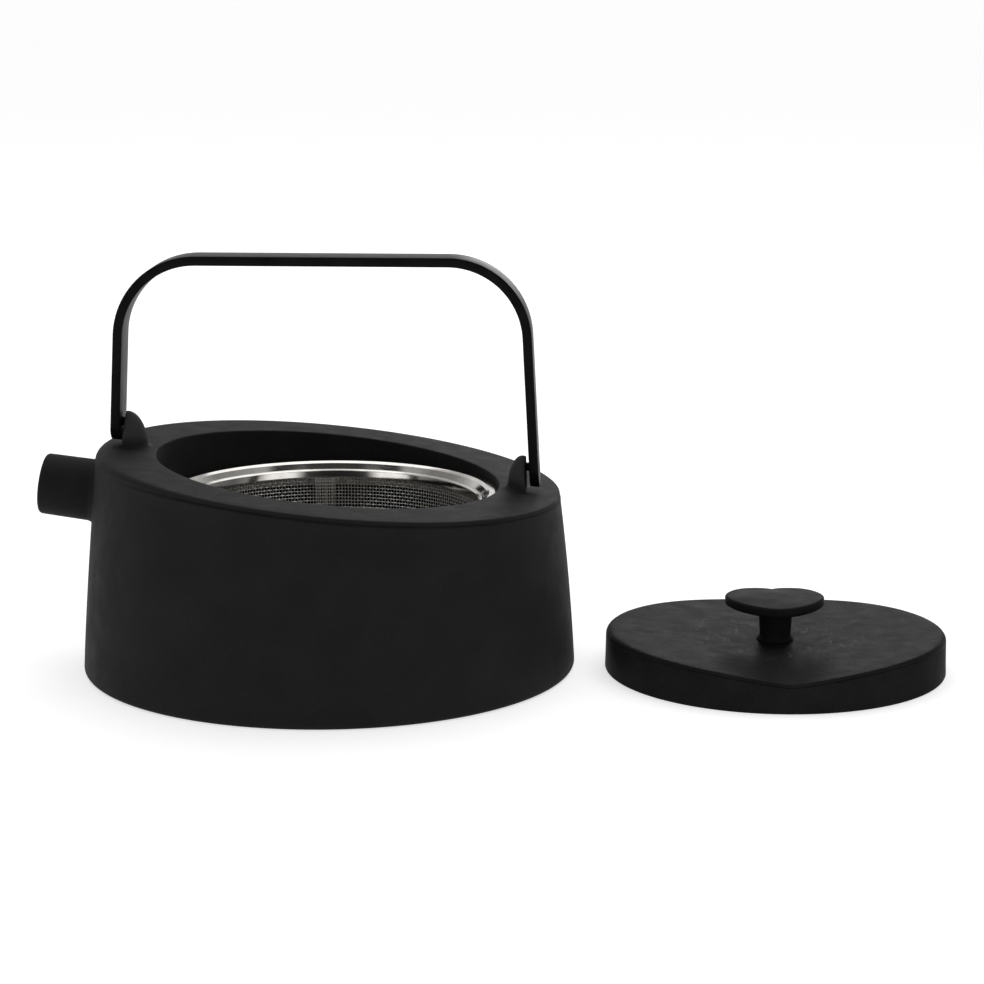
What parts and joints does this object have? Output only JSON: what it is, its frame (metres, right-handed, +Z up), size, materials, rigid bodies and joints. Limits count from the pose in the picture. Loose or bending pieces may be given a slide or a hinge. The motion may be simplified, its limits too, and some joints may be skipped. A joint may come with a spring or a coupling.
{
  "type": "teapot",
  "caption": "Low cast-iron teapot with a sloping rim, straight spout, flat swinging bail, lift-out steel strainer and a loose lid with a heart knob.",
  "frame": {"origin": "centre of the pot's flat base, on the surface it stands on", "axes": "+Z up, -X along the spout, +Y away from the viewer in the front view"},
  "size_m": [0.3316, 0.1798, 0.1503],
  "materials": {
    "cast_iron": "matte black enamel over a fine cast texture",
    "lid_iron": "matte black, slightly worn on top",
    "bail_iron": "satin black",
    "pin_steel": "blackened steel",
    "polished_steel": "polished",
    "woven_steel": "fine woven wire",
    "screw_steel": "satin"
  },
  "bodies": {
    "pot": {"pot_body": "cast_iron", "left_pivot_pin": "pin_steel", "right_pivot_pin": "pin_steel"},
    "bail": {"bail_handle": "bail_iron"},
    "strainer": {"strainer_rim": "polished_steel", "strainer_inner_band": "polished_steel", "strainer_mesh_wall": "woven_steel", "strainer_seam": "woven_steel", "strainer_bottom_ring": "polished_steel", "strainer_mesh_floor": "woven_steel"},
    "lid": {"lid_plate": "lid_iron", "lid_knob": "lid_iron", "knob_washer": "screw_steel", "knob_screw": "screw_steel"}
  },
  "joints": [
    {"name": "bail_swing", "type": "hinge", "parent": "pot", "child": "bail", "pos_m": [0, 0, 0.08155], "axis": [0.9946, 0, -0.1039], "range_deg": [-86, 86]},
    {"name": "strainer_lift", "type": "slide", "parent": "pot", "child": "strainer", "axis": [0, 0, 1], "range_m": [0, 0.072]},
    {"name": "lid_lift", "type": "slide", "parent": "pot", "child": "lid", "axis": [0, 0, 1], "range_m": [0, 0.08]}
  ]
}
